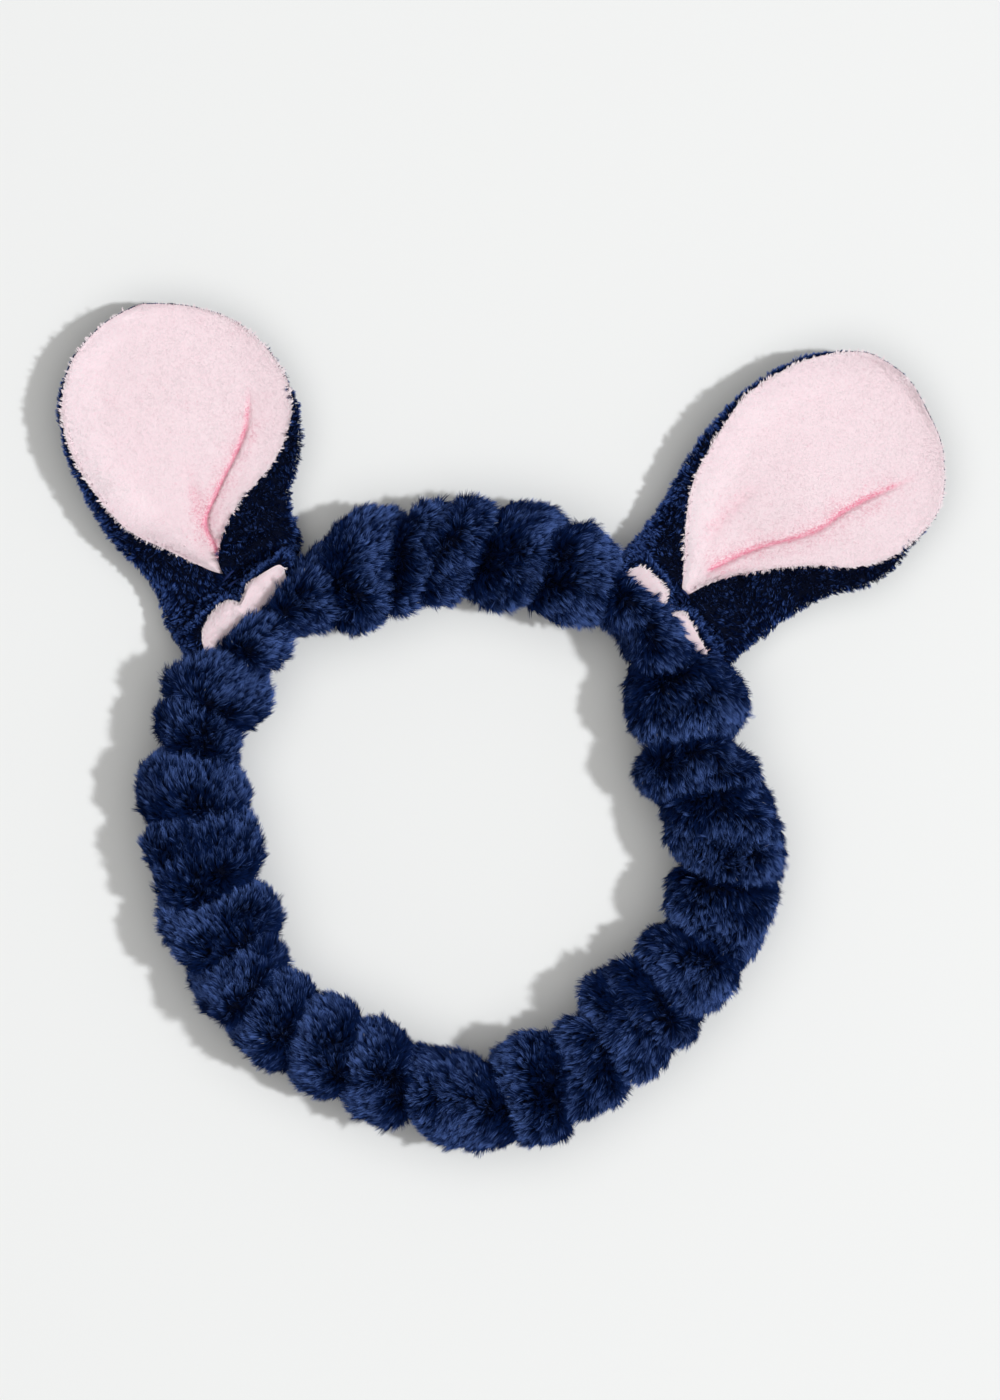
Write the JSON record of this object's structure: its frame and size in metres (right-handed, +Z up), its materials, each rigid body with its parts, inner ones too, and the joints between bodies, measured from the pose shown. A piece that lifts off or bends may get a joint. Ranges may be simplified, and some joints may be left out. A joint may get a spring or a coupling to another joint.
{
  "type": "animal ears headband",
  "caption": "Gathered plush headband on a ring of elastic, with floppy round plush ears sewn to its top.",
  "frame": {"origin": "middle of the head opening, in the plane of the table that the band lies on", "axes": "+Z up, out of the head opening on the side that the ears' pink fronts face; +Y from the nape towards the ears; +X towards the right ear"},
  "size_m": [0.2218, 0.2138, 0.0267],
  "materials": {
    "band_plush": "long-pile navy plush, gathered",
    "ear_plush": "shorter navy plush",
    "pink_plush": "very short pale pink plush",
    "wadding": "thin white polyester wadding",
    "elastic": "white woven elastic",
    "navy_thread": "navy polyester thread",
    "pink_thread": "pale pink polyester thread"
  },
  "bodies": {
    "band": {"band_cover": "band_plush", "elastic_band": "elastic", "elastic_lap_stitches": "navy_thread", "cover_long_seam": "navy_thread", "cover_closing_seam": "navy_thread", "left_ear_base_thread": "navy_thread", "right_ear_base_thread": "navy_thread"},
    "left_ear": {"left_ear_back": "ear_plush", "left_ear_front": "pink_plush", "left_ear_wadding": "wadding", "left_ear_edge_seam": "pink_thread", "left_ear_pinch_tack": "navy_thread", "left_ear_hem": "ear_plush"},
    "right_ear": {"right_ear_back": "ear_plush", "right_ear_front": "pink_plush", "right_ear_wadding": "wadding", "right_ear_edge_seam": "pink_thread", "right_ear_pinch_tack": "navy_thread", "right_ear_hem": "ear_plush"}
  },
  "joints": [
    {"name": "left_ear_flop", "type": "hinge", "parent": "band", "child": "left_ear", "pos_m": [-0.05512, 0.05589, 0.004], "axis": [0.712, 0.7022, 0], "range_deg": [-45, 60], "stiffness_Nm_per_rad": 0.01},
    {"name": "right_ear_flop", "type": "hinge", "parent": "band", "child": "right_ear", "pos_m": [0.05432, 0.05528, 0.004], "axis": [0.7133, -0.7009, 0], "range_deg": [-45, 60], "stiffness_Nm_per_rad": 0.01}
  ]
}
